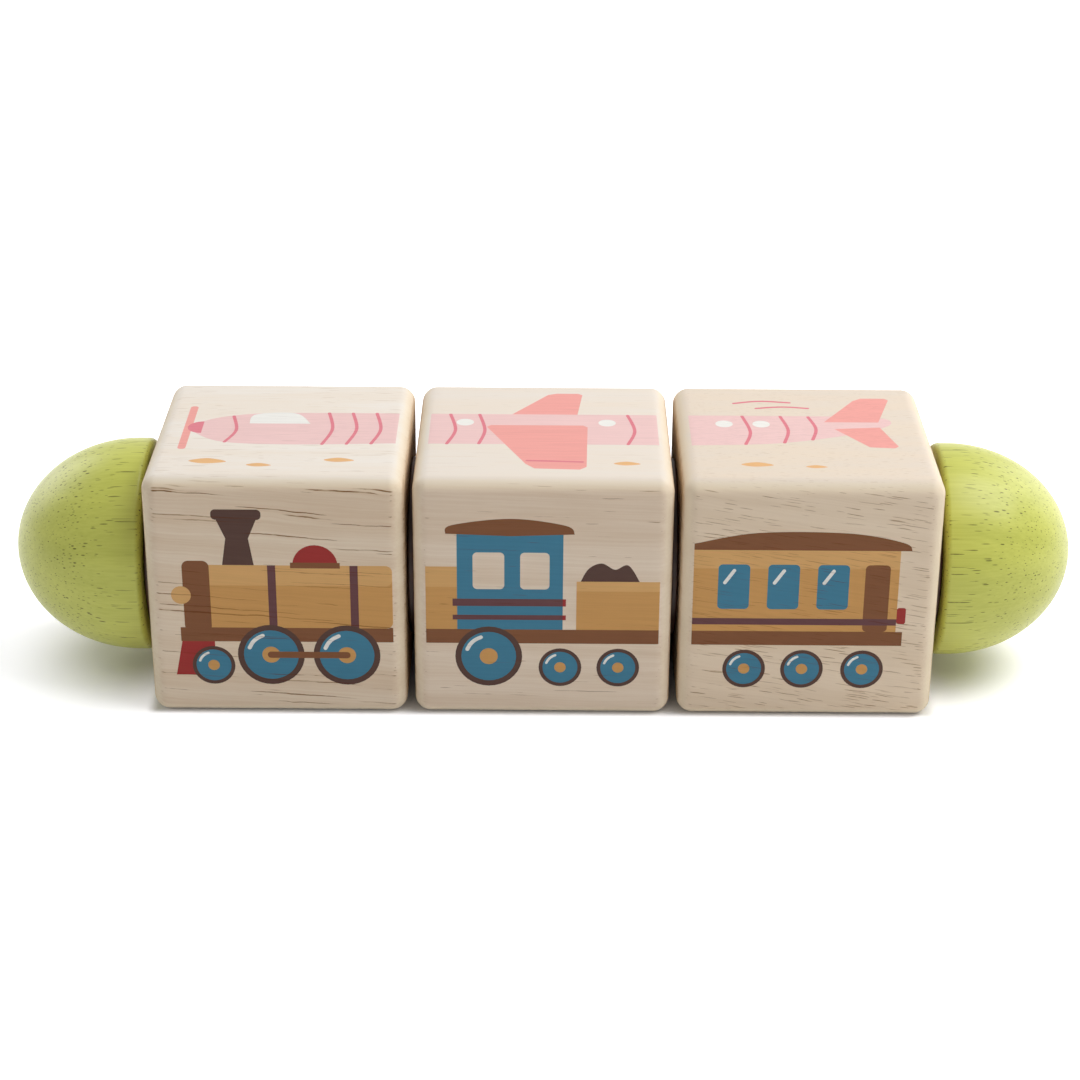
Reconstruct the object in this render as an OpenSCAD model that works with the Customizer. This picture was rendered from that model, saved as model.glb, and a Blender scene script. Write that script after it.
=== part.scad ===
// Wooden twisting puzzle: three picture blocks that turn on one dowel between two domed grips.
// The dowel lies along X, and the blocks stand on the plane Z = 0.
// The domes and the spacer discs are fixed to the dowel. Each block turns on it by itself.

/* [Blocks] */
// Length of each block along the dowel
block_length = 57.5; // [45:0.5:72]
// Height and depth of each block
block_side = 58; // [52:0.5:72]
// Radius of the sanded edges and corners
edge_round = 3.5; // [2:0.25:7]
// Countersink at each mouth of a block's bore
bore_chamfer = 0.8; // [0.4:0.1:1.5]

/* [Dowel] */
// Diameter of the dowel
dowel_d = 14; // [10:0.5:18]
// Length of dowel glued into each dome
dowel_seat = 20; // [14:0.5:22]
// Chamfer on the dowel's ends
dowel_chamfer = 1; // [0.4:0.1:1.5]

/* [Spacer discs] */
// Diameter of the discs between the blocks
disc_d = 41; // [24:0.5:50]
// Thickness of a disc
disc_t = 1.5; // [1:0.1:3]
// Radius of a disc's rim edges
disc_round = 0.4; // [0.1:0.05:0.45]

/* [Domed grips] */
// Diameter of a dome at its flat base
dome_d = 49; // [36:0.5:52]
// Straight stretch before the dome starts to curve
dome_straight = 3.5; // [2.5:0.5:8]
// Length of the curved nose
dome_nose = 28.3; // [23:0.1:36]
// Radius of the edge around the flat base
dome_rim_round = 1.5; // [0.5:0.25:2.25]

/* [Fits] */
// Gap between a disc and the face on each side of it
side_gap = 0.15; // [0.05:0.05:0.4]
// Radial running gap between a block's bore and the dowel
running_gap = 0.08; // [0.02:0.01:0.1]
// Radial glue line around the dowel in a dome or a disc
glue_line = 0.04; // [0.02:0.01:0.08]
// Glue pocket past the dowel's end in a dome
glue_pocket = 1; // [0.5:0.25:2]

/* [Hidden] */
$fn = 96;

// Each gap in the row, between two blocks or a block and a dome, holds one disc.
joint_gap = disc_t + 2 * side_gap;
block_pitch = block_length + joint_gap;
dome_base_x = 1.5 * block_length + 2 * joint_gap;
axis_z = block_side / 2;
dowel_length = 2 * (dome_base_x + dowel_seat);

bore_d = dowel_d + 2 * running_gap;
glued_bore_d = dowel_d + 2 * glue_line;
drill_tip_angle = 118;
nose_steps = 40;
rim_steps = 6;
overcut = 0.5;

wood = [0.90, 0.83, 0.74];
dowel_wood = [0.86, 0.76, 0.62];
green_paint = [0.68, 0.73, 0.33];
brown_plastic = [0.20, 0.14, 0.10];

// Turns a shape made along Z so that it lies along +X, or along -X for side = -1.
module along_x(side = 1) {
    rotate([0, side * 90, 0])
        children();
}

// Puts a shape made around the origin on the dowel's axis, at the distance x along it.
module on_axis(x = 0) {
    translate([x, 0, axis_z])
        children();
}

// A box with every edge and corner rounded: three crossing slabs, an edge roll along each of the
// twelve edges and a ball in each of the eight corners.
module rounded_box(size, r) {
    flat = [for (s = size) s - 2 * r];
    cube([size.x, flat.y, flat.z], center = true);
    cube([flat.x, size.y, flat.z], center = true);
    cube([flat.x, flat.y, size.z], center = true);
    for (a = [-0.5, 0.5], b = [-0.5, 0.5]) {
        translate([0, a * flat.y, b * flat.z])
            rotate([0, 90, 0])
                cylinder(h = flat.x, r = r, center = true);
        translate([a * flat.x, 0, b * flat.z])
            rotate([90, 0, 0])
                cylinder(h = flat.y, r = r, center = true);
        translate([a * flat.x, b * flat.y, 0])
            cylinder(h = flat.z, r = r, center = true);
    }
    for (a = [-0.5, 0.5], b = [-0.5, 0.5], c = [-0.5, 0.5])
        translate([a * flat.x, b * flat.y, c * flat.z])
            sphere(r = r);
}

// A picture block, bored through for the dowel and countersunk at both mouths of the bore.
module picture_block(x) {
    color(wood)
        on_axis(x)
            difference() {
                rounded_box([block_length, block_side, block_side], edge_round);
                along_x()
                    cylinder(h = block_length + 2 * overcut, d = bore_d, center = true);
                for (side = [-1, 1])
                    translate([side * (block_length / 2 - bore_chamfer), 0, 0])
                        along_x(side)
                            cylinder(h = bore_chamfer + overcut, d1 = bore_d,
                                     d2 = bore_d + 2 * (bore_chamfer + overcut));
            }
}

// The dowel that everything is threaded on, with a chamfer at each end for its seat in a dome.
module axle_dowel() {
    shank = dowel_length - 2 * dowel_chamfer;
    color(dowel_wood)
        on_axis()
            for (side = [-1, 1])
                along_x(side) {
                    cylinder(h = shank / 2, d = dowel_d);
                    translate([0, 0, shank / 2])
                        cylinder(h = dowel_chamfer, d1 = dowel_d, d2 = dowel_d - 2 * dowel_chamfer);
                }
}

// A spacer disc, pushed on to the dowel in the middle of its gap.
module spacer_disc(x) {
    rim = disc_d / 2 - disc_round;
    flat = disc_t / 2 - disc_round;
    color(brown_plastic)
        on_axis(x)
            along_x()
                rotate_extrude()
                    difference() {
                        union() {
                            translate([0, -disc_t / 2])
                                square([rim, disc_t]);
                            translate([0, -flat])
                                square([disc_d / 2, 2 * flat]);
                            for (side = [-1, 1])
                                translate([rim, side * flat])
                                    circle(r = disc_round);
                        }
                        translate([-overcut, -disc_t])
                            square([glued_bore_d / 2 + overcut, 2 * disc_t]);
                    }
}

// Half of a dome's section, as [radius, height] points: the flat base, the rounded rim, the
// straight stretch and the nose, which is a quarter of an ellipse.
function dome_section() = let (r = dome_d / 2, f = dome_rim_round) concat(
    [[0, 0]],
    [for (i = [0:rim_steps]) let (a = 90 * i / rim_steps) [r - f + f * sin(a), f - f * cos(a)]],
    [for (i = [0:nose_steps]) let (a = 90 * i / nose_steps)
        [i == nose_steps ? 0 : r * cos(a), dome_straight + dome_nose * sin(a)]]
);

// A domed grip with its blind, glued seat for the dowel. side is -1 for the left and 1 for the right.
module domed_grip(side) {
    seat = dowel_seat + glue_pocket;
    tip = glued_bore_d / 2 / tan(drill_tip_angle / 2);
    color(green_paint)
        on_axis(side * dome_base_x)
            along_x(side)
                difference() {
                    rotate_extrude()
                        polygon(dome_section());
                    translate([0, 0, -overcut])
                        cylinder(h = seat + overcut, d = glued_bore_d);
                    translate([0, 0, seat])
                        cylinder(h = tip, d1 = glued_bore_d, d2 = 0);
                }
}

axle_dowel();
domed_grip(-1);  // left_dome
domed_grip(1);  // right_dome
spacer_disc(-1.5 * block_pitch);  // left_end_disc
spacer_disc(-0.5 * block_pitch);  // left_spacer_disc
spacer_disc(0.5 * block_pitch);  // right_spacer_disc
spacer_disc(1.5 * block_pitch);  // right_end_disc
picture_block(-block_pitch);  // left_block
picture_block(0);  // middle_block
picture_block(block_pitch);  // right_block
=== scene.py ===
import math

import bmesh
import bpy
from mathutils import Matrix, Vector, noise
from mathutils.geometry import delaunay_2d_cdt


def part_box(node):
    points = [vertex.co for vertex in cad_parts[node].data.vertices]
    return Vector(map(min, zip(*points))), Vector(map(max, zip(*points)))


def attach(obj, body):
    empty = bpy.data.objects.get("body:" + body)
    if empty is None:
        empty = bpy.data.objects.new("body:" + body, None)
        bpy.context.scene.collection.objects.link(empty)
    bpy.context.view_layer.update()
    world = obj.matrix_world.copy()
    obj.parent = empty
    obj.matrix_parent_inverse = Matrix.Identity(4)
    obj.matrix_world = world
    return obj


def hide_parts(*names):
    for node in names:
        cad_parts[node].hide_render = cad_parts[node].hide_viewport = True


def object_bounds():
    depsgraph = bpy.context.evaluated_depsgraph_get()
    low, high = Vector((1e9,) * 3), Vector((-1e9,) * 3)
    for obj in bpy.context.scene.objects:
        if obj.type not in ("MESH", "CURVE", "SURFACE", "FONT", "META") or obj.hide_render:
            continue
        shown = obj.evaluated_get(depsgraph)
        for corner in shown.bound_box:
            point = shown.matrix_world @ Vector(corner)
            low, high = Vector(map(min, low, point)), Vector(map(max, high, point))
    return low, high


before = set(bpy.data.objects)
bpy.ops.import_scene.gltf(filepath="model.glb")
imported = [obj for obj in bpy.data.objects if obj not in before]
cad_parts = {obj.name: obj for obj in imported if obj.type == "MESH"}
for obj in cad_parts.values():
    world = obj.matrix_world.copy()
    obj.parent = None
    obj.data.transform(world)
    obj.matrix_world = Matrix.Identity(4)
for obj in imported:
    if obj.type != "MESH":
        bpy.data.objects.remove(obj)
cad_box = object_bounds()


# The camera stands as it did for the photograph: a long lens, a little above the toy, square to
# the row of blocks and looking down on their tops.
mm = 0.001
camera_place = Vector((0.0004, -0.5307, 0.2815))
camera_pitch = math.radians(25.32)
camera_yaw = math.radians(-0.12)
camera_roll = math.radians(0.34)
lens_mm = 84.27
sensor_mm = 36
nearest_seen = 10 * mm


def put_in_scene(name, data):
    """A new object with this data, linked to the scene."""
    thing = bpy.data.objects.new(name, data)
    bpy.context.scene.collection.objects.link(thing)
    return thing


camera_data = bpy.data.cameras.new("camera")
camera_data.lens = lens_mm
camera_data.sensor_width = sensor_mm
camera_data.clip_start = nearest_seen
camera = put_in_scene("camera", camera_data)
camera.matrix_world = (
    Matrix.Translation(camera_place)
    @ Matrix.Rotation(-camera_yaw, 4, "Z")
    @ Matrix.Rotation(math.pi / 2 - camera_pitch, 4, "X")
    @ Matrix.Rotation(camera_roll, 4, "Z")
)
bpy.context.scene.camera = camera


# The dowel is a plain turned stick of the same hardwood as the blocks. It is glued into the domes
# at both ends, and the discs are pushed on to it. Its finish is wood straight from the lathe.
dowel_light = "#D2B48F"
dowel_dark = "#A98660"
pore_brown = "#63300C"
turned_roughness = 0.6
turned_pore_depth = 0.1 * mm
bump_strength = 0.15
raised_fibres = 0.3
middling = (0.32, 0.68)


def linear(colour):
    """A colour written as a web colour, as linear red, green, blue and alpha."""
    parts = [int(colour[i : i + 2], 16) / 255 for i in (1, 3, 5)]
    return [p / 12.92 if p <= 0.04045 else ((p + 0.055) / 1.055) ** 2.4 for p in parts] + [1]


def feed(tree, socket, value):
    """Links an output to a socket, or sets the socket to a value."""
    if isinstance(value, bpy.types.NodeSocket):
        tree.links.new(value, socket)
    elif isinstance(value, str) and value.startswith("#"):
        socket.default_value = linear(value)
    else:
        socket.default_value = value


def add(tree, kind, settings=(), **inputs):
    """Adds a node. Each keyword names one of its inputs, with underscores for spaces."""
    node = tree.nodes.new(kind)
    for name, value in dict(settings).items():
        setattr(node, name, value)
    for name, value in inputs.items():
        feed(tree, node.inputs[name.replace("_", " ")], value)
    return node


def calculate(tree, operation, *values, clamp=False):
    """The result of a Math node."""
    node = add(tree, "ShaderNodeMath", {"operation": operation, "use_clamp": clamp})
    for socket, value in zip(node.inputs, values):
        feed(tree, socket, value)
    return node.outputs[0]


def calculate_vector(tree, operation, *values):
    """The result of a Vector Math node."""
    node = add(tree, "ShaderNodeVectorMath", {"operation": operation})
    for socket, value in zip(node.inputs, values):
        feed(tree, socket, value)
    return node.outputs[0]


def length(tree, vector):
    """The length of a vector."""
    node = add(tree, "ShaderNodeVectorMath", {"operation": "LENGTH"})
    feed(tree, node.inputs[0], vector)
    return node.outputs["Value"]


def ramp(tree, value, start, end, low=0.0, high=1.0):
    """A soft step from low to high as value goes from start to end."""
    node = add(tree, "ShaderNodeMapRange", {"interpolation_type": "SMOOTHSTEP"})
    for name, setting in zip(
        ("Value", "From Min", "From Max", "To Min", "To Max"), (value, start, end, low, high)
    ):
        feed(tree, node.inputs[name], setting)
    return node.outputs[0]


def mix_colours(tree, share, first, second, how="MIX"):
    """Two colours mixed, with the given share of the second."""
    node = add(tree, "ShaderNodeMix", {"data_type": "RGBA", "blend_type": how})
    in_use = [socket for socket in node.inputs if socket.enabled]
    for socket, value in zip(in_use, (share, first, second)):
        feed(tree, socket, value)
    return next(socket for socket in node.outputs if socket.enabled)


def stretched_noise(tree, place, along, across, detail=3.0, seed=(0, 0, 0)):
    """Noise whose features are this long along the grain and this wide across it, in mm."""
    size = (1 / along, 1 / across, 1 / across)
    place = calculate_vector(tree, "MULTIPLY_ADD", place, size, seed)
    return add(tree, "ShaderNodeTexNoise", Vector=place, Scale=1.0, Detail=detail)


def new_group(name, inputs, outputs):
    """An empty shader group. Returns it, its inputs by name and the sockets for its results."""
    tree = bpy.data.node_groups.new(name, "ShaderNodeTree")
    for label, value in inputs.items():
        kind = "NodeSocketVector" if isinstance(value, tuple) else "NodeSocketFloat"
        tree.interface.new_socket(label, in_out="INPUT", socket_type=kind).default_value = value
    for label in outputs:
        tree.interface.new_socket(label, in_out="OUTPUT", socket_type="NodeSocketFloat")
    return tree, tree.nodes.new("NodeGroupInput").outputs, tree.nodes.new("NodeGroupOutput").inputs


def wood_hollows():
    """A node group that sets long thin hollows in the solid wood, one in each cell of a loose grid.

    A cut along the grain shows them as dashes, and a cut across it as dots. Sizes are in mm.
    """
    sizes = {"Place": (0, 0, 0), "Length": 8.0, "Spacing": 0.7, "Width": 0.3}
    tree, given, result = new_group("wood hollows", sizes, ["Depth"])
    cell = add(tree, "ShaderNodeCombineXYZ", Y=given["Spacing"], Z=given["Spacing"],
               X=calculate(tree, "MULTIPLY", given["Length"], 1.25)).outputs[0]
    scaled = calculate_vector(tree, "DIVIDE", given["Place"], cell)
    cells = add(tree, "ShaderNodeTexVoronoi", Vector=scaled, Scale=1.0, Randomness=0.9)
    away = calculate_vector(tree, "SUBTRACT", scaled, cells.outputs["Position"])
    away = calculate_vector(tree, "MULTIPLY", away, cell)
    own = add(tree, "ShaderNodeSeparateColor", Color=cells.outputs["Color"]).outputs

    reach = calculate(tree, "MULTIPLY_ADD", own[0], 0.3, 0.2)
    reach = calculate(tree, "MULTIPLY", given["Length"], reach)
    along = add(tree, "ShaderNodeSeparateXYZ", Vector=away).outputs[0]
    along = calculate(tree, "DIVIDE", along, reach)
    taper = calculate(tree, "SUBTRACT", 1.0, calculate(tree, "MULTIPLY", along, along), clamp=True)
    half = calculate(tree, "MULTIPLY_ADD", own[1], 0.3, 0.25)
    half = calculate(tree, "MULTIPLY", given["Width"], half)
    half = calculate(tree, "MULTIPLY", half, calculate(tree, "SQRT", taper))
    across = length(tree, calculate_vector(tree, "MULTIPLY", away, (0, 1, 1)))
    inside = calculate(tree, "MULTIPLY_ADD", half, 1.2, calculate(tree, "MULTIPLY", across, -1.0))
    wall = calculate(tree, "MULTIPLY_ADD", half, 0.4, 0.01)
    depth = calculate(tree, "DIVIDE", inside, wall, clamp=True)
    shade = calculate(tree, "MULTIPLY_ADD", own[2], 0.45, 0.55)
    feed(tree, result["Depth"], calculate(tree, "MULTIPLY", depth, shade))
    return tree


def hardwood_grain():
    """A node group with the grain of an open-pored hardwood that runs along X.

    Pores are the short dark dashes, and Lines the few long, fine, dark seams between growth rings.
    Both come in patches. Fibres, Rings and Streaks are soft bands for the tone of the wood.
    """
    sizes = {
        "Slope": 0.0, "Plank": (0, 0, 0), "Sway": (0, 0.8, 0.8),
        "Pore Length": 8.0, "Pore Spacing": 0.7, "Pore Width": 0.3,
        "Line Length": 40.0, "Line Spacing": 1.0, "Line Width": 0.3,
    }
    tree, given, result = new_group("hardwood grain", sizes, ["Pores", "Fibres", "Rings", "Streaks"])
    place = add(tree, "ShaderNodeTexCoord").outputs["Object"]
    place = calculate_vector(tree, "MULTIPLY", place, (1 / mm, 1 / mm, 1 / mm))
    turned = add(tree, "ShaderNodeVectorRotate", {"rotation_type": "Y_AXIS"},
                 Vector=place, Angle=given["Slope"]).outputs[0]
    place = calculate_vector(tree, "ADD", turned, given["Plank"])

    half = (0.5, 0.5, 0.5)
    slow, quick = [
        calculate_vector(tree, "SUBTRACT", stretched_noise(tree, place, *size).outputs["Color"], half)
        for size in ((26, 9), (3, 3))
    ]
    sway = calculate_vector(tree, "MULTIPLY_ADD", quick, (0.16, 0.16, 0.16), slow)
    curly = calculate_vector(tree, "MULTIPLY_ADD", sway, given["Sway"], place)

    hollows = []
    for kind, patch_size, share in (("Pore", (22, 5), (0.4, 0.6)), ("Line", (40, 6), (0.36, 0.5))):
        patch = stretched_noise(tree, place, *patch_size, detail=2.0, seed=(11, 2, 9)).outputs[0]
        width = ramp(tree, patch, *share, 0.65, 1.0)
        width = calculate(tree, "MULTIPLY", given[f"{kind} Width"], width)
        group = add(tree, "ShaderNodeGroup", {"node_tree": hollow_wood}, Place=curly, Width=width,
                    Length=given[f"{kind} Length"], Spacing=given[f"{kind} Spacing"])
        hollows.append(group.outputs[0])
    uneven = stretched_noise(tree, place, 4, 1.5, detail=2.0, seed=(5, 1, 6)).outputs[0]
    uneven = ramp(tree, uneven, 0.36, 0.5, 0.5, 1.0)
    pores = calculate(tree, "MULTIPLY", calculate(tree, "MAXIMUM", *hollows), uneven)
    feed(tree, result["Pores"], pores)
    for name, size, detail, seed in (
        ("Fibres", (26, 0.5), 4.0, (0, 0, 0)),
        ("Rings", (160, 5.5), 2.0, (7, 3, 5)),
        ("Streaks", (34, 1.4), 3.0, (3, 8, 4)),
    ):
        bands = stretched_noise(tree, curly, *size, detail=detail, seed=seed)
        feed(tree, result[name], bands.outputs[0])
    return tree


hollow_wood = wood_hollows()
grain = hardwood_grain()


def new_material(name):
    """An empty material with its Principled shader. Returns the material, its tree and the shader."""
    material = bpy.data.materials.new(name)
    material.use_nodes = True
    tree = material.node_tree
    return material, tree, tree.nodes["Principled BSDF"]


def use_grain(tree, **settings):
    """The outputs of the grain group, with its inputs set."""
    node = add(tree, "ShaderNodeGroup", {"node_tree": grain}, **settings)
    return [node.outputs[name] for name in ("Pores", "Fibres", "Rings", "Streaks")]


def bare_wood(tree, light, dark, fibres, rings, streaks, fine=0.5):
    """The colour of unpainted wood between its pores: soft bands and fibres between two tones."""
    tone = calculate(tree, "MULTIPLY_ADD", ramp(tree, fibres, *middling), fine,
                     calculate(tree, "MULTIPLY", ramp(tree, rings, *middling), 1 - fine))
    colour = mix_colours(tree, tone, light, dark)
    return mix_colours(tree, ramp(tree, streaks, 0.56, 0.7, 0.0, 0.3), colour, dark)


def dent(tree, shader, pores, fibres, depth):
    """Sinks the pores and raises the fibres in the shader's normal."""
    raised = calculate(tree, "MULTIPLY", fibres, raised_fibres)
    height = calculate(tree, "MULTIPLY_ADD", pores, -1.0, raised)
    bump = add(tree, "ShaderNodeBump", Strength=bump_strength, Distance=depth, Height=height)
    feed(tree, shader.inputs["Normal"], bump.outputs[0])


def finish_node(name, material):
    """Gives a CAD node its material."""
    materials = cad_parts[name].data.materials
    materials.clear()
    materials.append(material)


material, tree, shader = new_material("dowel wood")
pores, fibres, rings, streaks = use_grain(tree, Plank=(40, 13, 6))
colour = bare_wood(tree, dowel_light, dowel_dark, fibres, rings, streaks)
feed(tree, shader.inputs["Base Color"], mix_colours(tree, pores, colour, pore_brown))
shader.inputs["Roughness"].default_value = turned_roughness
dent(tree, shader, pores, fibres, turned_pore_depth)
finish_node("axle_dowel", material)


# Four thin discs keep the blocks and the domes apart. They are moulded plastic with fine rings
# left by the mould, and they close the gaps, so that no light comes through. Their dark brown is
# painted shade, which keeps the deep gaps between the blocks dark.
disc_shade_brown = "#4A2F22"
disc_rubbed = "#61432F"
disc_roughness = (0.38, 0.55)
rub_size = 6.25 * mm
rub_share = (0.4, 0.7)
ring_pitch = 0.5 * mm
ring_depth = 0.03 * mm
ring_strength = 0.3

material, tree, shader = new_material("disc plastic")
place = add(tree, "ShaderNodeTexCoord").outputs["Object"]
rubbed = add(tree, "ShaderNodeTexNoise", Vector=place, Scale=1 / rub_size, Detail=4.0).outputs[0]
colour = mix_colours(tree, ramp(tree, rubbed, *rub_share), disc_shade_brown, disc_rubbed)
feed(tree, shader.inputs["Base Color"], colour)
feed(tree, shader.inputs["Roughness"], ramp(tree, rubbed, *rub_share, *disc_roughness))
axis_height = sum(corner.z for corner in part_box("axle_dowel")) / 2
from_axis = calculate_vector(tree, "SUBTRACT", place, (0, 0, axis_height))
radius = length(tree, calculate_vector(tree, "MULTIPLY", from_axis, (0, 1, 1)))
turned = calculate(tree, "SINE", calculate(tree, "MULTIPLY", radius, math.tau / ring_pitch))
bump = add(tree, "ShaderNodeBump", Strength=ring_strength, Distance=ring_depth, Height=turned)
feed(tree, shader.inputs["Normal"], bump.outputs[0])
for name in ("left_end_disc", "left_spacer_disc", "right_spacer_disc", "right_end_disc"):
    finish_node(name, material)


# The blocks are sawn from pale hardwood, bored through, sanded round at every edge and then printed
# with one part of a picture on each of the four long sides. All pictures read the same way up.
edge_round = 3.5 * mm
roll_steps = 5
printed_steps = 2
flat_steps = 12
soft_border = 0.8 * mm
bore_radius = 7.08 * mm
bore_chamfer = 0.8 * mm
bore_steps = 48
sanding_unevenness = 0.12 * mm
sanding_waves = 90
same_place = 0.001 * mm
crease = math.radians(35)

# The red ink is thin, so it turns plum where it is printed over another one.
INKS = {
    "tan": "#CF9A58",
    "light tan": "#DBAA6B",
    "brown": "#7D4B28",
    "dark": "#4A2D26",
    "blue": "#327B99",
    "red": "#9C1D1F",
    "white": "#F2F0EA",
    "pink": "#EFC9C6",
    "salmon": "#F1A49C",
    "rose": "#E07D8A",
    "apricot": "#E9B67C",
    "leaf": "#A9B857",
    "yellow": "#EBCB66",
    "orange": "#E39153",
    "pale blue": "#B5D3DC",
    "bare": None,
}
OVERPRINTED = {**INKS, "red": "#5E343A"}


def arc(u, v, radius, start, end, steps=16):
    """Points on part of a circle, from one angle to another, in degrees."""
    angles = [math.radians(start + (end - start) * i / steps) for i in range(steps + 1)]
    return [(u + radius * math.cos(a), v + radius * math.sin(a)) for a in angles]


def disc(u, v, radius):
    """A round spot."""
    return arc(u, v, radius, 0, 350, 35)


def box(left, low, right, high, corner=0.0):
    """An upright rectangle, with round corners where a radius is given."""
    if not corner:
        return [(left, low), (right, low), (right, high), (left, high)]
    return (
        arc(left + corner, low + corner, corner, 180, 270, 6)
        + arc(right - corner, low + corner, corner, 270, 360, 6)
        + arc(right - corner, high - corner, corner, 0, 90, 6)
        + arc(left + corner, high - corner, corner, 90, 180, 6)
    )


def smooth(points, closed=False, steps=8):
    """A smooth curve through a few points."""
    count = len(points)
    curve = []
    for i in range(count if closed else count - 1):
        places = [i - 1, i, i + 1, i + 2]
        if not closed:
            places = [min(max(place, 0), count - 1) for place in places]
        near = [Vector(points[place % count]) for place in places]
        for step in range(steps):
            t = step / steps
            p = 0.5 * (
                2 * near[1]
                + (near[2] - near[0]) * t
                + (2 * near[0] - 5 * near[1] + 4 * near[2] - near[3]) * t**2
                + (3 * near[1] - near[0] - 3 * near[2] + near[3]) * t**3
            )
            curve.append(tuple(p))
    return curve if closed else curve + [tuple(points[-1])]


def stroke(points, width):
    """A line of even width with round ends along a smooth curve through the points."""
    middle = [Vector(p) for p in (smooth(points) if len(points) > 2 else points)]
    half = width / 2
    left, right = [], []
    for i, p in enumerate(middle):
        way = (middle[min(i + 1, len(middle) - 1)] - middle[max(i - 1, 0)]).normalized()
        side = Vector((-way.y, way.x)) * half
        left.append(tuple(p + side))
        right.append(tuple(p - side))
    ends = []
    for p, way in ((middle[-1], middle[-1] - middle[-2]), (middle[0], middle[0] - middle[1])):
        facing = math.degrees(math.atan2(way.y, way.x))
        ends.append(arc(p.x, p.y, half, facing + 80, facing - 80, 8))
    return left + ends[0] + right[::-1] + ends[1]


def wheel(u, v, radius, body="blue"):
    """A printed wheel: tyre, body, hub and a glint."""
    return [
        ("dark", disc(u, v, radius)),
        (body, disc(u, v, radius * 0.82)),
        ("tan", disc(u, v, radius * 0.27)),
        ("white", stroke(arc(u, v, radius * 0.68, 110, 160, 3), radius * 0.12)),
    ]


def puff(u, v, size):
    """A flat oval cloud."""
    low, high = v - size * 0.34, v + size * 0.34
    outline = [(u - size, v), (u - size * 0.2, low), (u + size, v - size * 0.1), (u, high)]
    return smooth(outline, closed=True)


def waves(u, v):
    """Two short strokes of a wave, the lower one further right."""
    crests = [(-5, 0.5), (-2.5, -0.5), (0, 0.5), (2.5, -0.5), (5, 0.5)]
    return [
        ("blue", stroke([(u + right + p, v - down + q) for p, q in crests], 0.8))
        for right, down in ((0, 0), (4, 2.8))
    ]


TRAIN = (
    [
        ("brown", box(-21.5, -10.5, 26, -7)),
        ("red", [(-21.3, -10.5), (-23, -19), (-14, -19), (-14, -10.5)]),
        ("tan", box(-17, -7, 26, 8.5, 1.5)),
        ("light tan", box(-17, 3.5, 26, 8.5, 1.5)),
        ("brown", box(-20.5, -8, -14.5, 9.5, 1.5)),
        ("dark", [(-11.5, 8.5), (-10.5, 15), (-12.8, 20.5), (-3.2, 20.5), (-5.5, 15), (-4.5, 8.5)]),
        ("dark", box(-13.5, 19.5, -2.5, 22, 1)),
        ("red", arc(9, 8.5, 5, 0, 180)),
        ("brown", box(3.5, 7.8, 14.5, 9.2)),
        ("red", box(-1.6, -7, 0.2, 8.5)),
        ("red", box(16.6, -7, 18.4, 8.5)),
        ("light tan", disc(-21, 1, 2.2)),
        *wheel(-14.5, -16.5, 4.8),
        *wheel(-1.5, -13.8, 7.5),
        *wheel(15.5, -13.8, 7.5),
        ("brown", stroke([(-1.5, -13.8), (15.5, -13.8)], 1.6)),
    ],
    [
        ("brown", box(-26, -10.5, 26, -7)),
        ("tan", box(-26, -7, -19, 8.5)),
        ("light tan", box(-26, 3.5, -19, 8.5)),
        ("blue", box(-19, -7, 4.5, 16.5)),
        ("bare", box(-15.5, 3, -8.5, 12, 1)),
        ("bare", box(-5, 3, 1.5, 12, 1)),
        ("red", box(-20, -1.2, 5.2, 0.6)),
        ("red", box(-20, -4.6, 5.2, -3.4)),
        ("brown", smooth([(-21.5, 16.5), (-20, 18.6), (-7, 20.2), (5, 18.6), (7, 16.5)]) + [(-7, 16)]),
        ("dark", smooth([(8, 4), (10, 8), (13, 9.5), (16, 8), (19, 9), (22, 4)]) + [(15, 3)]),
        ("tan", box(7.5, -7, 26, 5)),
        ("light tan", box(7.5, 2.6, 26, 5)),
        *wheel(-12, -13.8, 7.5),
        *wheel(4, -16.5, 4.8),
        *wheel(17, -16.5, 4.8),
    ],
    [
        ("brown", box(-26, -10.5, 21, -7)),
        ("tan", box(-26, -7, 19.5, 13)),
        ("light tan", box(-26, 8.5, 19.5, 13)),
        ("brown", [(-26, 13)] + smooth([(-26, 14.5), (-12, 17.2), (8, 17.2), (20, 15), (22, 13)])),
        *[("blue", box(u, -1.5, u + 7, 9.5, 1)) for u in (-20.5, -9.5, 1.5)],
        *[("white", stroke([(u, 5), (u + 2, 8)], 0.8)) for u in (-19, -8, 3)],
        ("brown", box(12, -7, 17.5, 9.5, 1)),
        ("red", box(-26, -5.4, 19.5, -3.8)),
        ("red", box(19.5, -5, 21.5, -1, 0.5)),
        *wheel(-14, -16.5, 4.8),
        *wheel(-1, -16.5, 4.8),
        *wheel(12.5, -16.5, 4.8),
    ],
)

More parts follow.
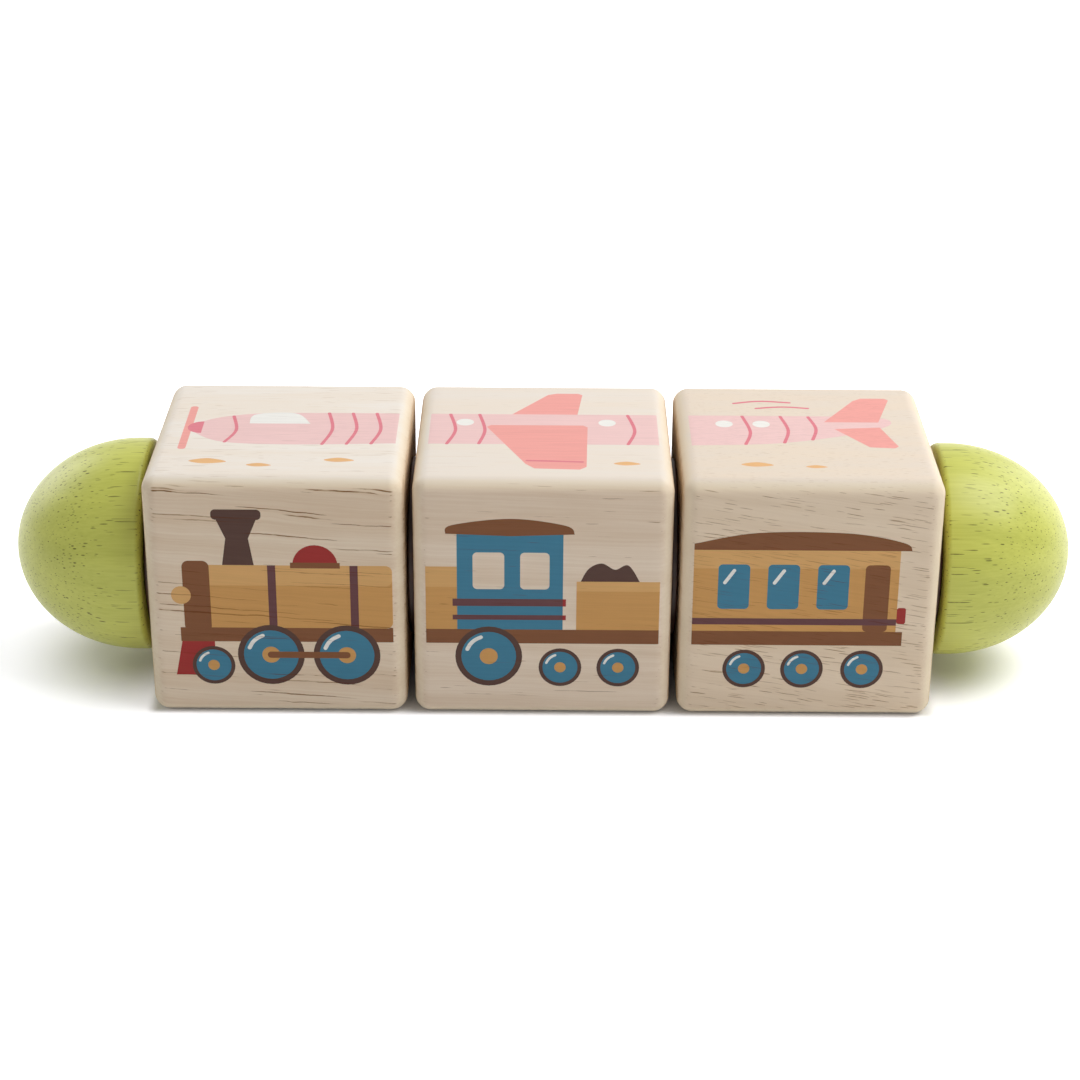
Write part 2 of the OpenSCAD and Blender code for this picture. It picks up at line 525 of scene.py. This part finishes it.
AEROPLANE = (
    [
        ("salmon", box(-22.6, -12, -20.8, 13, 0.8)),
        ("pink", smooth([(26, -8), (4, -9), (-12, -8), (-19, -3.5), (-20.5, 1), (-16, 6), (-6, 9),
                         (8, 9.5), (26, 9.5)])),
        ("rose", arc(-18.4, 0.6, 3.4, 90, 270)),
        ("white", smooth([(-8, 3), (-7, 8.4), (2, 9.2), (6, 3)]) + [(6, 3)]),
        ("rose", stroke([(-12.5, -7.8), (-10.6, -1), (-12, 7.2)], 0.8)),
        ("rose", stroke([(9.5, -8.8), (11.2, 0), (9.8, 9.4)], 0.8)),
        ("rose", stroke([(15, -8.6), (16.7, 0), (15.3, 9.4)], 0.8)),
        ("rose", stroke([(20.5, -8.3), (22.2, 0), (20.8, 9.4)], 0.8)),
        ("apricot", puff(-15, -18.5, 4.2)),
        ("apricot", puff(-3.5, -20.5, 2.8)),
        ("apricot", puff(14, -17.5, 3.4)),
    ],
    [
        ("salmon", [(-9, 7), (1, 21.5), (3, 22.3), (8, 22.3), (9, 21.5), (7.5, 7)]),
        ("pink", box(-26, -8, 26, 9.5)),
        ("salmon", [(-13, 2), (-4, -19), (-2, -21.5), (8, -22), (9.5, -20.5), (10, 2), (9, 3), (-12, 3)]),
        ("rose", stroke([(-3.6, -17.2), (8.6, -17.8)], 0.8)),
        ("white", disc(-18, 4.6, 2)),
        ("white", disc(14.5, 4.6, 2)),
        ("rose", stroke([(-21.8, -8), (-20.1, 0), (-21.5, 9.2)], 0.8)),
        ("rose", stroke([(-14.6, -7.8), (-13.4, 0), (-14.8, 9.2)], 0.8)),
        ("rose", stroke([(19, -7.8), (20.7, 0), (19.3, 9.2)], 0.8)),
        ("apricot", puff(18.5, -18.5, 3)),
    ],
    [
        ("pink", smooth([(-26, -8), (-8, -6.8), (6, -3), (17, 2), (20.5, 6), (17, 9), (4, 9.5),
                         (-26, 9.5)])),
        ("salmon", [(5, 6), (13, 19), (15, 20.5), (20.5, 20.5), (21.3, 19.5), (17.5, 6)]),
        ("salmon", [(7, 2), (14, -8.5), (19.5, -9), (20.5, -8), (17.5, 3)]),
        ("white", disc(-18, 4.6, 2)),
        ("white", disc(-9.5, 4.6, 2)),
        ("rose", stroke([(-13.8, -7.2), (-12.3, 0), (-13.6, 9.2)], 0.8)),
        ("rose", stroke([(-5, -6.2), (-3.6, 1), (-4.8, 9.2)], 0.8)),
        ("rose", stroke([(1.5, -4.4), (2.8, 2), (1.6, 9)], 0.8)),
        ("rose", stroke([(-15, 17), (-9, 18.4), (-2, 17.6)], 0.8)),
        ("rose", stroke([(-10, 14), (-4, 15), (2, 14.2)], 0.8)),
        ("apricot", puff(-12, -18.5, 3.6)),
        ("apricot", puff(1, -19.5, 2.4)),
    ],
)

BOAT = (
    [
        ("blue", [(-22.5, 3.5), (-21, 0), (-12, -12), (-10, -13), (26, -13), (26, 3.5)]),
        ("red", [(-22.5, 3.5), (-21.6, 1.2), (26, 1.2), (26, 3.5)]),
        ("brown", box(-7, 3.5, -5.6, 16)),
        ("tan", [(-5.6, 16), (5, 12.6), (-5.6, 9.2)]),
        ("light tan", box(8, 3.5, 26, 10.5)),
        ("brown", box(8, 3.5, 26, 5)),
        *[("white", disc(u, -4.5, 2.2)) for u in (-4, 6, 16)],
        *waves(-19, -15.5),
        *waves(-3, -18),
        *waves(15, -16),
    ],
    [
        ("red", box(-8, 12, 3, 22, 0.8)),
        ("white", box(-8, 15.6, 3, 18.6)),
        ("dark", box(-9, 20.8, 4, 22.6, 0.6)),
        ("light tan", box(-26, 3.5, 26, 10.5)),
        ("brown", box(-26, 3.5, 26, 5)),
        ("tan", box(-16, 10.5, 16, 14)),
        ("blue", box(-26, -13, 26, 3.5)),
        ("red", box(-26, 1.2, 26, 3.5)),
        *[("dark", box(u, 6.2, u + 4, 9.2, 0.6)) for u in (-19, -11, -3, 5, 13)],
        *[("white", disc(u, -4.5, 2.2)) for u in (-17, -5.7, 5.7, 17)],
        *waves(-16, -16.5),
        *waves(9, -19),
    ],
    [
        ("blue", smooth([(-26, 3.5), (16, 3.5), (21, 5), (18, -8), (13, -13), (-26, -13)]) + [(-26, -13)]),
        ("red", box(-26, 1.2, 19.6, 3.5)),
        ("light tan", box(-26, 3.5, -6, 10.5)),
        ("brown", box(-26, 3.5, -6, 5)),
        ("brown", box(8, 3.5, 9.4, 18)),
        ("red", [(9.4, 18), (19, 18), (16.5, 15), (19, 12), (9.4, 12)]),
        ("orange", disc(-1, 7, 3.6)),
        ("bare", disc(-1, 7, 1.7)),
        *[("white", disc(u, -4.5, 2.2)) for u in (-15, -4, 7)],
        *waves(-15, -17),
        *waves(2, -18.5),
        *waves(15, -15.5),
    ],
)

LORRY = (
    [
        ("dark", box(-18, -11, 26, -8)),
        ("leaf", smooth([(-20.5, -8), (-20.5, 0), (-17, 3), (-12.5, 4)])
                 + [(-7, 14), (7, 14), (8.5, 12.5), (8.5, -8)]),
        ("pale blue", [(-9, 4), (-4.8, 11.2), (4, 11.2), (4, 4)]),
        ("yellow", disc(-18.2, -1.5, 1.9)),
        ("dark", box(-1, -2, 3.6, -0.6, 0.6)),
        ("orange", box(12, -8, 26, 9)),
        ("yellow", box(12, 5.6, 26, 9)),
        ("orange", box(-22, -8.5, -16, -5.6, 1)),
        *wheel(-9.5, -13.5, 6.8, body="yellow"),
        *wheel(16.5, -15, 5.4, body="yellow"),
    ],
    [
        ("dark", box(-26, -11, 26, -8)),
        ("orange", box(-26, -8, 26, 9)),
        ("yellow", box(-26, 5.6, 26, 9)),
        *[("leaf", disc(u, 12.4, 4.4)) for u in (-17.5, -8.7, 0, 8.7, 17.5)],
        ("orange", box(-26, 8.6, 26, 9.4)),
        *[("yellow", stroke([(u, -5.4), (u, 3)], 1.2)) for u in (-18, -9, 0, 9, 18)],
        *wheel(-10, -15, 5.4, body="yellow"),
        *wheel(10, -15, 5.4, body="yellow"),
    ],
    [
        ("dark", box(-26, -11, 19, -8)),
        ("orange", box(-26, -8, 20, 9, 1)),
        ("yellow", box(-26, 5.6, 20, 9, 1)),
        *[("leaf", disc(u, 12.4, 4.4)) for u in (-17.5, -8.7, 0, 8.7)],
        ("orange", box(-26, 8.6, 20, 9.4)),
        *[("yellow", stroke([(u, -5.4), (u, 3)], 1.2)) for u in (-18, -9, 0, 9)],
        ("red", box(16.4, -6.6, 19, -3.4, 0.6)),
        *wheel(-9, -15, 5.4, body="yellow"),
        *wheel(9.5, -15, 5.4, body="yellow"),
    ],
)

PICTURES = {"front": TRAIN, "top": AEROPLANE, "back": BOAT, "bottom": LORRY}
BLOCKS = ("left_block", "middle_block", "right_block")


def grid_lines(half):
    """Places of the grid's lines across a side: even on the flat, and even in angle on the rolls."""
    edge = half - edge_round
    flat = [edge * (2 * i / flat_steps - 1) for i in range(flat_steps + 1)]
    roll = [edge + edge_round * math.tan(math.pi / 4 * (i + 1) / roll_steps) for i in range(roll_steps)]
    return [-p for p in reversed(roll)] + flat + roll


def sanded(place, halves):
    """Moves a point of the plain box on to its rounding. Returns it, and the way that it faces."""
    inner = Vector([max(-h + edge_round, min(h - edge_round, p)) for p, h in zip(place, halves)])
    way = (place - inner).normalized()
    bend = 1 - max(abs(c) for c in way)
    amount = min(bend / (1 - math.sqrt(0.5)), 1)
    uneven = (noise.noise(place * sanding_waves) * 0.5 + 0.5) * sanding_unevenness * amount
    return inner + way * (edge_round - uneven), way


def ink_colour(layers):
    """The colour and cover of the inks printed over each other, from the first to the last."""
    colour = None
    for name in layers:
        colour = (OVERPRINTED if colour else INKS)[name]
    return linear(colour) if colour else (0, 0, 0, 0)


def anticlockwise(outline):
    """The outline's points in anticlockwise order, which the triangulation needs."""
    turning = sum(p[0] * q[1] - q[0] * p[1] for p, q in zip(outline, outline[1:] + outline[:1]))
    return outline if turning > 0 else outline[::-1]


def ring(us, vs, start, end):
    """The grid's points round the square from one line to another, anticlockwise."""
    return (
        [Vector((us[i], vs[start])) for i in range(start, end)]
        + [Vector((us[end], vs[j])) for j in range(start, end)]
        + [Vector((us[i], vs[end])) for i in range(end, start, -1)]
        + [Vector((us[start], vs[j])) for j in range(end, start, -1)]
    )


def side_mesh(bm, ink, facing, turn, halves, picture=(), bored=False):
    """One side of a block, with its share of the rolls. Its picture's outlines are cut into it."""
    us, vs = grid_lines(halves[0]), grid_lines(halves[1])
    real_halves = [abs(c) for c in turn @ Vector(halves)]

    def corner(u, v):
        place, way = sanded(turn @ Vector((u, v, halves[2])), real_halves)
        vert = bm.verts.new(place)
        vert[facing] = way
        return vert

    verts = [[corner(u, v) for v in vs] for u in us]
    first, last = roll_steps - printed_steps, roll_steps + flat_steps + printed_steps
    for i in range(len(us) - 1):
        for j in range(len(vs) - 1):
            if not (first <= i < last and first <= j < last):
                face = bm.faces.new([verts[i][j], verts[i + 1][j], verts[i + 1][j + 1], verts[i][j + 1]])
                for loop in face.loops:
                    loop[ink] = ink_colour([])

    outlines = [ring(us, vs, first + step, last - step) for step in range(printed_steps + 1)]
    inset = [1 - soft_border / (h - edge_round) for h in halves[:2]]
    outlines.append([Vector((p.x * inset[0], p.y * inset[1])) for p in outlines[-1]])
    plain = len(outlines)
    outlines += [anticlockwise([(u * mm, v * mm) for u, v in outline]) for _, outline in picture]
    mouth = bore_radius + bore_chamfer
    if bored:
        outlines.append(arc(0, 0, mouth, 0, 360 * (1 - 1 / bore_steps), bore_steps - 1))
    points, shapes = [], []
    for outline in outlines:
        shapes.append(list(range(len(points), len(points) + len(outline))))
        points += [Vector(p) for p in outline]
    places, _, faces, _, _, origins = delaunay_2d_cdt(points, [], shapes, 1, 1e-7)
    made = [corner(*p) for p in places]
    for face, covers in zip(faces, origins):
        if bored and plain in covers:
            continue
        new = bm.faces.new([made[i] for i in face])
        layers = [picture[k - plain][0] for k in sorted(covers) if k >= plain]
        for loop in new.loops:
            loop[ink] = ink_colour(layers)
    if bored:
        return sorted(
            (v for v, p in zip(made, places) if abs(p.length - mouth) < same_place),
            key=lambda v: math.atan2(v.co.z, v.co.y),
        )


def picture_block(node, pictures):
    """The mesh of a printed block, in the place of its CAD node."""
    low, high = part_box(node)
    half = (high - low) / 2
    bm = bmesh.new()
    ink = bm.loops.layers.float_color.new("ink")
    facing = bm.verts.layers.float_vector.new("facing")
    facing_front = Matrix.Rotation(math.pi / 2, 3, "X")
    for number, side in enumerate(("front", "top", "back", "bottom")):
        turn = Matrix.Rotation(-math.pi / 2 * number, 3, "X") @ facing_front
        side_mesh(bm, ink, facing, turn, (half.x, half.y, half.z), pictures[side])
    mouths = []
    for quarter in (-1, 1):
        turn = Matrix.Rotation(quarter * math.pi / 2, 3, "Y")
        mouths.append(side_mesh(bm, ink, facing, turn, (half.z, half.y, half.x), bored=True))
    throats = []
    for mouth in mouths:
        throats.append([])
        for vert in mouth:
            ray = Vector((0, vert.co.y, vert.co.z)).normalized() * bore_radius
            depth = math.copysign(half.x - bore_chamfer, vert.co.x)
            throats[-1].append(bm.verts.new(Vector((depth, ray.y, ray.z))))
    for first, second in ((mouths[0], throats[0]), (throats[0], throats[1]), (throats[1], mouths[1])):
        for i in range(len(first)):
            k = (i + 1) % len(first)
            face = bm.faces.new([first[i], first[k], second[k], second[i]])
            for loop in face.loops:
                loop[ink] = ink_colour([])
    bmesh.ops.delete(bm, geom=[v for v in bm.verts if not v.link_faces], context="VERTS")
    bmesh.ops.remove_doubles(bm, verts=bm.verts, dist=same_place)
    bmesh.ops.recalc_face_normals(bm, faces=bm.faces)
    for face in bm.faces:
        face.smooth = True
    for e in bm.edges:
        e.smooth = e.calc_face_angle(0) < crease
    bmesh.ops.translate(bm, verts=bm.verts, vec=(low + high) / 2)
    mesh = bpy.data.meshes.new(node)
    bm.to_mesh(mesh)
    bm.free()
    return mesh


def end_grain(tree, pith, rings):
    """The colour of wood cut across: growth rings round a pith that lies off the block."""
    place = add(tree, "ShaderNodeTexCoord").outputs["Object"]
    place = calculate_vector(tree, "MULTIPLY", place, (0, 1, 1))
    radius = length(tree, calculate_vector(tree, "SUBTRACT", place, pith))
    turns = calculate(tree, "MULTIPLY_ADD", radius, 1 / growth_ring, rings)
    late = ramp(tree, calculate(tree, "FRACT", turns), 0.1, 0.95)
    return mix_colours(tree, late, end_light, end_dark)


def block_material(name, light, dark, top, pore_strength, top_pores, pith, **settings):
    """Bare wood with the block's printed inks over it. The pores stay open in the ink."""
    material, tree, shader = new_material(name)
    pores, fibres, rings, streaks = use_grain(tree, **settings)
    facing = add(tree, "ShaderNodeAttribute", {"attribute_name": "facing"}).outputs["Vector"]
    facing = calculate_vector(tree, "ABSOLUTE", facing)
    endways, sideways, upwards = add(tree, "ShaderNodeSeparateXYZ", Vector=facing).outputs
    straight = calculate(tree, "MAXIMUM", endways, calculate(tree, "MAXIMUM", sideways, upwards))

    colour = bare_wood(tree, light, dark, fibres, rings, streaks, 0.4)
    # Sides that face up are mixed towards the paler top colours: a painted sheen on the tops. The same mask
    # also sets fewer pores there.
    top_sheen_and_grain = ramp(tree, upwards, 0.5, 0.95)
    top_dark = mix_colours(tree, 0.5, top, light)
    painted_sheen_top = bare_wood(tree, top, top_dark, fibres, rings, streaks, 0.3)
    colour = mix_colours(tree, top_sheen_and_grain, colour, painted_sheen_top)
    # The rounded edges are mixed towards a pale cream: a painted highlight.
    roll = ramp(tree, straight, 0.995, 0.8)
    colour = mix_colours(tree, calculate(tree, "MULTIPLY", roll, edge_highlight_share), colour, edge_highlight_cream)
    sawn_end = ramp(tree, endways, 0.85, 0.999)
    colour = mix_colours(tree, sawn_end, colour, end_grain(tree, pith, rings))
    clear = calculate(tree, "MULTIPLY_ADD", top_sheen_and_grain, top_pores - 1, 1.0)
    clear = calculate(tree, "MULTIPLY", clear, ramp(tree, endways, 0.12, 0.5, pore_strength, 0.15))
    clear = calculate(tree, "MULTIPLY_ADD", sawn_end, 0.5, clear)
    clear = calculate(tree, "MULTIPLY", clear, calculate(tree, "MULTIPLY_ADD", roll, -0.6, 1.0))
    shown = calculate(tree, "MULTIPLY", pores, clear)
    stain = calculate(tree, "MULTIPLY", shown, stain_spread, clamp=True)
    colour = mix_colours(tree, stain, colour, pore_stain)
    colour = mix_colours(tree, calculate(tree, "MULTIPLY", shown, shown), colour, pore_brown)

    ink = add(tree, "ShaderNodeAttribute", {"attribute_name": "ink"})
    uneven = calculate(tree, "MULTIPLY_ADD", ramp(tree, fibres, 0.3, 0.75), -0.07, 1.0)
    printed = mix_colours(tree, 1.0, ink.outputs["Color"], uneven, "MULTIPLY")
    sunken = mix_colours(tree, bare_pores, printed, pore_brown)
    printed = mix_colours(tree, calculate(tree, "MULTIPLY", shown, 0.9), printed, sunken)
    cover = calculate(tree, "MULTIPLY", ink.outputs["Alpha"], ink_cover)
    feed(tree, shader.inputs["Base Color"], mix_colours(tree, cover, colour, printed))
    roughness = calculate(tree, "MULTIPLY_ADD", ink.outputs["Alpha"], ink_smoothing, wood_roughness)
    roughness = calculate(tree, "MULTIPLY_ADD", fibres, 0.08, roughness)
    matt = calculate(tree, "MAXIMUM", shown, sawn_end)
    feed(tree, shader.inputs["Roughness"], calculate(tree, "MULTIPLY_ADD", matt, 0.3, roughness))
    shader.inputs["Specular IOR Level"].default_value = wood_shine
    dent(tree, shader, shown, fibres, pore_depth)
    return material


wood_roughness = 0.56
ink_smoothing = -0.08
wood_shine = 0.2
ink_cover = 0.97
pore_depth = 0.12 * mm
bare_pores = 0.75
stain_spread = 1.4
pore_stain = "#AE8F68"
# Painted highlight on the rounded edges: how much of it there is, and its cream.
edge_highlight_share = 0.45
edge_highlight_cream = "#F0E2C6"
end_light = "#DBC5A7"
end_dark = "#C9AE8D"
growth_ring = 4.2 * mm
# Each block's top colour is paler and greyer than its sides: a painted sheen.
WOODS = {
    "left_block": dict(
        light="#EAD9C3", dark="#DBC3A8", top="#F0E9E0",
        pore_strength=0.9, top_pores=0.2, pith=(0, 0.02, -0.05),
        Slope=math.radians(-4), Plank=(0, 120, 55), Sway=(0, 0.5, 2.4),
        Pore_Length=9.0, Pore_Spacing=1.3, Pore_Width=0.3,
        Line_Length=50.0, Line_Spacing=0.9, Line_Width=0.44,
    ),
    "middle_block": dict(
        light="#ECDBC7", dark="#DEC8B0", top="#EAE1D6",
        pore_strength=0.85, top_pores=0.15, pith=(0, -0.05, 0.07),
        Slope=math.radians(-1.5), Plank=(300, 20, 310), Sway=(0, 0.6, 1.4),
        Pore_Length=6.5, Pore_Spacing=1.0, Pore_Width=0.27,
        Line_Length=24.0, Line_Spacing=1.3, Line_Width=0.22,
    ),
    "right_block": dict(
        light="#EBD8C0", dark="#E1CCB2", top="#E4D7C8",
        pore_strength=0.6, top_pores=0.3, pith=(0, 0.07, -0.03),
        Slope=math.radians(-9), Plank=(700, 230, 90), Sway=(0, 0.8, 1.8),
        Pore_Length=6.5, Pore_Spacing=0.47, Pore_Width=0.25,
        Line_Length=12.0, Line_Spacing=0.8, Line_Width=0.25,
    ),
}
for number, node in enumerate(BLOCKS):
    parts = {side: picture[number] for side, picture in PICTURES.items()}
    block = put_in_scene(f"{node}_printed", picture_block(node, parts))
    block.data.materials.append(block_material(node.replace("_", " "), **WOODS[node]))
    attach(block, node)
    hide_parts(node)


# The domes are turned from the same wood, drilled for the dowel and dipped in a thin yellow-green
# paint that lets the open pores show: as dashes round the base, and as dots near the nose.
dome_rim = 1.5 * mm
dome_straight = 3.5 * mm
glued_radius = 7.04 * mm
seat_depth = 21 * mm
drill_half_angle = math.radians(59)
drill_tip = glued_radius / math.tan(drill_half_angle)
rim_steps = 8
nose_steps = 48
steps_around = 128
no_area = 1e-12
green_light = "#CACD5D"
green_dark = "#B4B848"
green_pore = "#403A0C"
fibres_through = 0.35
rings_through = 0.4
pores_through = 0.9
paint_roughness = 0.42
paint_shine = 0.4
top_coat = 0.3
top_coat_roughness = 0.28


def dome_section(low, high, facing):
    """Points along half a dome's section, as (distance along the dowel, radius).

    They run the other way round for a dome that faces +X, so that its faces look outwards too.
    """
    radius = (high.z - low.z) / 2
    base = low.x if facing > 0 else high.x
    tip = high.x - low.x
    nose = tip - dome_straight
    outer = [(dome_rim * (1 - math.cos(a)), radius - dome_rim * (1 - math.sin(a)))
             for a in (math.pi / 2 * i / rim_steps for i in range(rim_steps + 1))]
    outer += [(dome_straight + nose * math.sin(a), radius * math.cos(a))
              for a in (math.pi / 2 * i / nose_steps for i in range(nose_steps))]
    loop = [(0, glued_radius)] + outer + [(tip, 0)]
    loop += [(seat_depth + drill_tip, 0), (seat_depth, glued_radius), (0, glued_radius)]
    return [(base + facing * x, r) for x, r in loop[::-facing]]


def lathe():
    """A geometry node tree that turns the mesh's line of points, in the XZ plane, round the X axis."""
    tree = bpy.data.node_groups.new("lathe", "GeometryNodeTree")
    tree.interface.new_socket("Geometry", in_out="INPUT", socket_type="NodeSocketGeometry")
    for name, kind in (("Steps", "Int"), ("Axis", "Vector"), ("Material", "Material")):
        tree.interface.new_socket(name, in_out="INPUT", socket_type=f"NodeSocket{kind}")
    tree.interface.new_socket("Geometry", in_out="OUTPUT", socket_type="NodeSocketGeometry")
    given = tree.nodes.new("NodeGroupInput").outputs
    result = tree.nodes.new("NodeGroupOutput").inputs

    size = add(tree, "GeometryNodeAttributeDomainSize", Geometry=given["Geometry"])
    count = size.outputs["Point Count"]
    lines = calculate(tree, "ADD", given["Steps"], 1.0)
    grid = add(tree, "GeometryNodeMeshGrid", Vertices_X=lines, Vertices_Y=count)
    index = add(tree, "GeometryNodeInputIndex").outputs[0]
    point = calculate(tree, "MODULO", index, count)
    step = calculate(tree, "FLOOR", calculate(tree, "DIVIDE", index, count))
    angle = calculate(tree, "MULTIPLY", calculate(tree, "DIVIDE", step, given["Steps"]), math.tau)
    place = add(tree, "GeometryNodeInputPosition").outputs[0]
    sample = add(tree, "GeometryNodeSampleIndex", {"data_type": "FLOAT_VECTOR", "domain": "POINT"},
                 Geometry=given["Geometry"], Value=place, Index=point)
    sampled = add(tree, "ShaderNodeSeparateXYZ", Vector=sample.outputs[0])
    spun = add(tree, "ShaderNodeCombineXYZ", X=sampled.outputs["X"],
               Y=calculate(tree, "MULTIPLY", sampled.outputs["Z"], calculate(tree, "SINE", angle)),
               Z=calculate(tree, "MULTIPLY", sampled.outputs["Z"], calculate(tree, "COSINE", angle)))
    moved = add(tree, "GeometryNodeSetPosition", Geometry=grid.outputs["Mesh"],
                Position=calculate_vector(tree, "ADD", spun.outputs[0], given["Axis"]))
    area = add(tree, "GeometryNodeInputMeshFaceArea").outputs[0]
    empty = add(tree, "FunctionNodeCompare", {"operation": "LESS_THAN"}, A=area, B=no_area)
    kept = add(tree, "GeometryNodeDeleteGeometry", {"domain": "FACE"},
               Geometry=moved.outputs[0], Selection=empty.outputs[0])
    joined = add(tree, "GeometryNodeMergeByDistance", Geometry=kept.outputs[0], Distance=same_place)
    bend = add(tree, "GeometryNodeInputMeshEdgeAngle").outputs["Unsigned Angle"]
    sharp = add(tree, "FunctionNodeCompare", {"operation": "GREATER_THAN"}, A=bend, B=crease)
    soft = add(tree, "GeometryNodeSetShadeSmooth", {"domain": "FACE"}, Geometry=joined.outputs[0])
    creased = add(tree, "GeometryNodeSetShadeSmooth", {"domain": "EDGE"}, Geometry=soft.outputs[0],
                  Selection=sharp.outputs[0], Shade_Smooth=False)
    real = add(tree, "GeometryNodeRealizeInstances", Geometry=creased.outputs[0])
    painted = add(tree, "GeometryNodeSetMaterial", Geometry=real.outputs[0], Material=given["Material"])
    feed(tree, result["Geometry"], painted.outputs[0])
    return tree


def turned_piece(name, section, axis, steps, material):
    """A piece turned on the lathe from its section, as a plain mesh object."""
    line = bpy.data.meshes.new(name)
    line.from_pydata([(x, 0, r) for x, r in section], [(i, i + 1) for i in range(len(section) - 1)], [])
    piece = put_in_scene(name, line)
    modifier = piece.modifiers.new("lathe", "NODES")
    modifier.node_group = turning
    values = {"Steps": steps, "Axis": axis, "Material": material}
    for item in turning.interface.items_tree:
        if item.name in values:
            modifier[item.identifier] = values[item.name]
    evaluated = piece.evaluated_get(bpy.context.evaluated_depsgraph_get())
    mesh = bpy.data.meshes.new_from_object(evaluated)
    piece.modifiers.clear()
    piece.data = mesh
    mesh.name = name
    return piece


turning = lathe()
paint, tree, shader = new_material("green paint")
pores, fibres, rings, streaks = use_grain(
    tree, Plank=(55, 420, 77), Sway=(0, 0.5, 0.5),
    Pore_Length=9.0, Pore_Spacing=0.7, Pore_Width=0.33,
    Line_Length=16.0, Line_Spacing=1.1, Line_Width=0.32,
)
tone = calculate(tree, "MULTIPLY_ADD", ramp(tree, fibres, 0.3, 0.7), fibres_through,
                 calculate(tree, "MULTIPLY", ramp(tree, rings, 0.3, 0.7), rings_through))
colour = mix_colours(tree, tone, green_light, green_dark)
colour = mix_colours(tree, calculate(tree, "MULTIPLY", pores, pores_through), colour, green_pore)
feed(tree, shader.inputs["Base Color"], colour)
roughness = calculate(tree, "MULTIPLY_ADD", fibres, 0.1, paint_roughness)
feed(tree, shader.inputs["Roughness"], calculate(tree, "MULTIPLY_ADD", pores, 0.4, roughness))
shader.inputs["Specular IOR Level"].default_value = paint_shine
shader.inputs["Coat Weight"].default_value = top_coat
shader.inputs["Coat Roughness"].default_value = top_coat_roughness
dent(tree, shader, pores, fibres, pore_depth)
axis = Vector((0, 0, (cad_box[0].z + cad_box[1].z) / 2))
for node, facing in (("left_dome", -1), ("right_dome", 1)):
    dome = turned_piece(f"{node}_painted", dome_section(*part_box(node), facing), axis, steps_around, paint)
    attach(dome, "spindle")
    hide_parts(node)


# The studio is a wide pale floor under a large soft lamp on the right, with two weaker ones behind
# and a faint sky in front. The camera and a gloss see a white sky and a floor that glows white,
# except close to the toy, where the floor keeps its shadow.
floor_size = 6
floor_white = 0.93
blocks_stand = (87.2 * mm, 26.7 * mm)
block_shade = 3.4 * mm
domes_hang = 97 * mm
dome_shade = (5 * mm, 36 * mm)
dome_shade_reach = 0.87
glow_near = 0.6
glow_spread = 0.3
glow_far = 0.6
glow_tint = "#F8F8FF"
world_front = 0.38
world_back = 0.0
sky_edge = (-0.5, 0.7)
lamp_size = 0.8
LAMPS = (
    ("overhead", (0.6, 0.0, 1.0), 10.4),
    ("right back", (0.9, 0.7, 0.5), 3.9),
    ("left back", (-0.9, 0.7, 0.5), 5.1),
)


def looked_at(tree):
    """1 where the camera looks, straight or in a gloss, and 0 for the light that falls on things."""
    light_path = add(tree, "ShaderNodeLightPath").outputs
    seen = 0.0
    for kind in ("Is Camera Ray", "Is Glossy Ray", "Is Transmission Ray"):
        seen = calculate(tree, "MAXIMUM", light_path[kind], seen)
    return seen


material, tree, shader = new_material("studio floor")
shader.inputs["Base Color"].default_value = (floor_white, floor_white, floor_white, 1)
shader.inputs["Roughness"].default_value = 1.0
shader.inputs["Specular IOR Level"].default_value = 0.0
place = add(tree, "ShaderNodeTexCoord").outputs["Object"]
place = calculate_vector(tree, "ABSOLUTE", place)
away = calculate_vector(tree, "SUBTRACT", place, (*blocks_stand, 0))
away = length(tree, calculate_vector(tree, "MAXIMUM", away, (0, 0, 0)))
from_dome = calculate_vector(tree, "SUBTRACT", place, (domes_hang, 0, 0))
from_dome = length(tree, calculate_vector(tree, "DIVIDE", from_dome, (dome_shade_reach, 1, 1)))
near = calculate(tree, "MULTIPLY", ramp(tree, away, 0.0, block_shade, 0.0, glow_near),
                 ramp(tree, from_dome, *dome_shade))
glow = calculate(tree, "ADD", near, ramp(tree, away, 0.0, glow_spread, 0.0, glow_far))
glow = calculate(tree, "MULTIPLY", looked_at(tree), glow)
glow = add(tree, "ShaderNodeEmission", Color=glow_tint, Strength=glow)
both = tree.nodes.new("ShaderNodeAddShader")
tree.links.new(shader.outputs[0], both.inputs[0])
tree.links.new(glow.outputs[0], both.inputs[1])
tree.links.new(both.outputs[0], tree.nodes["Material Output"].inputs["Surface"])
floor_mesh = bpy.data.meshes.new("floor")
half = floor_size / 2
corners = [(-half, -half, 0), (half, -half, 0), (half, half, 0), (-half, half, 0)]
floor_mesh.from_pydata(corners, [], [(0, 1, 2, 3)])
floor_mesh.materials.append(material)
floor = put_in_scene("floor", floor_mesh)

for name, place, power in LAMPS:
    lamp = bpy.data.lights.new(name, "AREA")
    lamp.size = lamp_size
    lamp.energy = power
    lamp_object = put_in_scene(name, lamp)
    lamp_object.location = place
    lamp_object.rotation_euler = (-Vector(place)).to_track_quat("-Z", "Y").to_euler()

world = bpy.data.worlds.new("studio")
world.use_nodes = True
bpy.context.scene.world = world
tree = world.node_tree
direction = add(tree, "ShaderNodeTexCoord").outputs["Generated"]
direction = add(tree, "ShaderNodeSeparateXYZ", Vector=direction)
sky = ramp(tree, direction.outputs["Y"], *sky_edge, world_front, world_back)
sky = calculate(tree, "MAXIMUM", looked_at(tree), sky)
feed(tree, tree.nodes["Background"].inputs["Color"], (1, 1, 1, 1))
feed(tree, tree.nodes["Background"].inputs["Strength"], sky)
bpy.context.scene.view_settings.view_transform = "Standard"
